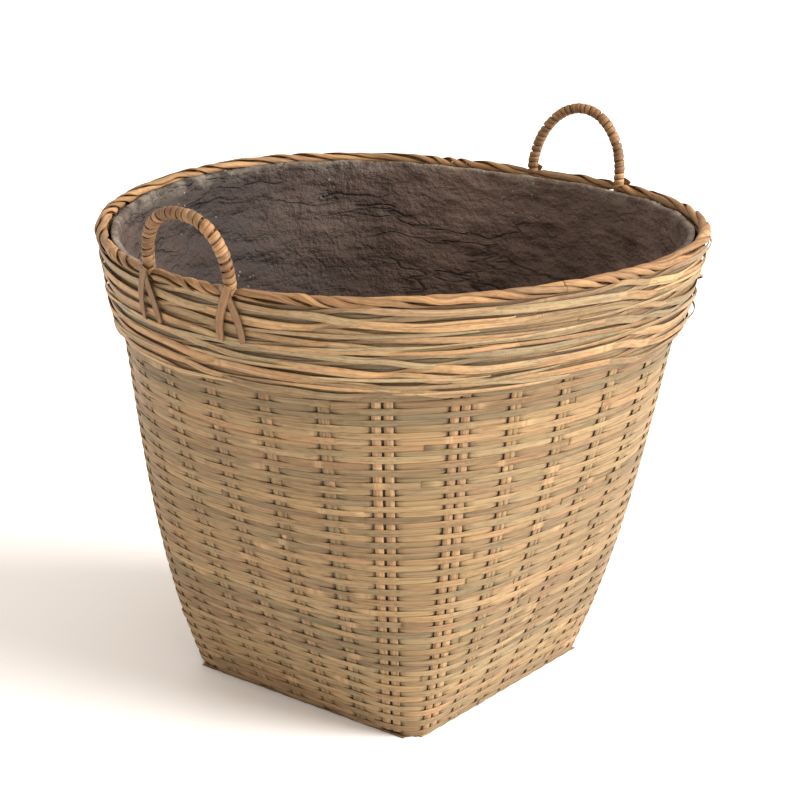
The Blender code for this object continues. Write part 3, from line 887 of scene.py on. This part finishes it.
def layLiner():
    noise.seed_set(liner["seed"])  # without a seed, noise_vector follows the clock
    bm = bmesh.new()
    floorEnd = liner["floorRows"]
    wallEnd = floorEnd + liner["wallRows"]
    edgeEnd = wallEnd + liner["edgeRows"]
    outerEnd = edgeEnd + liner["outerRows"]
    rows = outerEnd + liner["underRows"]
    made = bmesh.ops.create_grid(bm, x_segments=liner["columns"], y_segments=rows, size=.5)["verts"]
    inner = liner["outer"] - liner["thickness"]
    floorTop = linerBox[0].z + liner["thickness"] + liner["floorRise"]
    top, bottom = linerBox[1].z, linerBox[0].z
    cornerIn = liner["corner"] * .2
    for vert in made:
        place = 4 * (vert.co.x + .5)
        if place > 3.9999:
            place = 0.0
        row = round((vert.co.y + .5) * rows)
        turn = place * math.pi / 2
        ragged = .0016 * ripple(math.cos(turn) * 9, math.sin(turn) * 9, 1) + .0009 * ripple(
            math.cos(turn) * 40, math.sin(turn) * 40, 6)
        if row <= floorEnd:  # floor, from the middle out
            share = row / floorEnd
            edge = wallPoint(place, floorTop, inner - cornerIn)
            spot = Vector((edge.x * share, edge.y * share, floorTop + liner["cove"] * ease(.9, 1, share)))
            spot.z += abs(linerRoughness(spot)) * (share > 0)
        elif row <= wallEnd:  # inner wall, upwards
            share = (row - floorEnd) / liner["wallRows"]
            foot = floorTop + liner["cove"]
            z = foot + (top + ragged - liner["skin"] - foot) * share
            rough = clamp(linerRoughness(wallPoint(place, z, inner)), -.0034, .0044)
            rough *= 1 - .6 * ease(.97, 1, share)
            spot = wallPoint(place, z, inner - liner["skin"] - rough - cornerIn * (1 - ease(0, .06, share)))
        elif row <= edgeEnd:  # rounded top edge
            share = (row - wallEnd) / (liner["edgeRows"] + 1)
            z = top + ragged - liner["skin"] * (2 * share - 1) ** 2
            spot = wallPoint(place, z, inner + liner["thickness"] * share)
        elif row <= outerEnd:  # outer wall, downwards
            share = (row - edgeEnd) / liner["outerRows"]
            high = top + ragged - liner["edgeDrop"]
            spot = wallPoint(place, high + (bottom + .001 - high) * share, liner["outer"])
        else:  # underside, back to the middle
            share = 1 - (row - outerEnd) / liner["underRows"]
            edge = wallPoint(place, bottom, liner["outer"])
            spot = Vector((edge.x * share, edge.y * share, bottom))
        vert.co = spot
    for face in bm.faces:
        face.smooth = True
    bmesh.ops.remove_doubles(bm, verts=bm.verts[:], dist=.00001)
    bmesh.ops.recalc_face_normals(bm, faces=bm.faces[:])
    return bm


finishPiece(layLiner(), "rough_clay_lining", ["clay_liner"], linerMaterial())
print("clay lining made")

# the bent cane inside each handle keeps its solid shape
coreCane = bpy.data.materials.new("bent cane")
coreCane.use_nodes = True
coreTree = coreCane.node_tree
corePlace = addNode(coreTree, "ShaderNodeTexCoord").outputs["Object"]
coreNoise = addNode(coreTree, "ShaderNodeTexNoise", {"Vector": corePlace, "Scale": 160.0,
                                                     "Detail": 4.0}).outputs[0]
coreColour = rampColour(coreTree, coreNoise, [(.3, fromSrgb(96, 62, 34)), (.7, fromSrgb(150, 104, 60))])
coreShader = coreTree.nodes["Principled BSDF"]
coreTree.links.new(coreColour, coreShader.inputs["Base Color"])
coreBump = addNode(coreTree, "ShaderNodeBump", {"Height": coreNoise, "Strength": .4, "Distance": .0005})
coreTree.links.new(coreBump.outputs[0], coreShader.inputs["Normal"])
coreShader.inputs["Roughness"].default_value = .7
for name in ("front", "back"):
    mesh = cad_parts[f"handle_core_{name}"].data
    mesh.materials.clear()
    mesh.materials.append(coreCane)

studio = {
    "floorSize": 30, "floor": (.97, .965, .96), "floorRoughness": .55,
    "fill": (1.0, .915, .84), "fillStrength": 1.0,
    "keyPower": 6.4, "keyAngle": math.radians(42), "keyColour": (1.0, .985, .975),
    "keyPlace": (2.8, 1.1, 1.9), "keyAim": (0, 0, .2),
}


def makeStudio():
    bm = bmesh.new()
    bmesh.ops.create_grid(bm, x_segments=2, y_segments=2, size=studio["floorSize"])
    mesh = bpy.data.meshes.new("floor")
    bm.to_mesh(mesh)
    bm.free()
    floor = bpy.data.objects.new("floor", mesh)
    scene.collection.objects.link(floor)
    paint = bpy.data.materials.new("pale floor")
    paint.use_nodes = True
    paint.node_tree.nodes["Principled BSDF"].inputs["Base Color"].default_value = (*studio["floor"], 1)
    paint.node_tree.nodes["Principled BSDF"].inputs["Roughness"].default_value = studio["floorRoughness"]
    mesh.materials.append(paint)

    world = bpy.data.worlds.new("studio")
    scene.world = world
    world.use_nodes = True
    background = world.node_tree.nodes["Background"]
    background.inputs[0].default_value = (*studio["fill"], 1)
    background.inputs[1].default_value = studio["fillStrength"]

    lamp = bpy.data.lights.new("key", "SUN")
    lamp.energy = studio["keyPower"]
    lamp.color = studio["keyColour"]
    lamp.angle = studio["keyAngle"]
    key = bpy.data.objects.new("key", lamp)
    scene.collection.objects.link(key)
    key.location = studio["keyPlace"]
    key.rotation_euler = (Vector(studio["keyAim"]) - key.location).to_track_quat("-Z", "Y").to_euler()


view = {"place": (1.33470, -1.69026, 1.00417), "turn": 38.043, "down": 18.791, "roll": .298, "lens": 104.64,
        "sensor": 36}


def makeCamera():
    data = bpy.data.cameras.new("camera")
    data.sensor_width = view["sensor"]
    data.lens = view["lens"]
    data.clip_start, data.clip_end = .05, 100
    camera = bpy.data.objects.new("camera", data)
    scene.collection.objects.link(camera)
    camera.matrix_world = (Matrix.Translation(view["place"])
                           @ Matrix.Rotation(math.radians(view["turn"]), 4, "Z")
                           @ Matrix.Rotation(math.radians(90 - view["down"]), 4, "X")
                           @ Matrix.Rotation(math.radians(view["roll"]), 4, "Z"))
    scene.camera = camera


makeStudio()
makeCamera()
scene.view_settings.view_transform = "Standard"
print("floor, light and camera made")

bpy.context.view_layer.update()
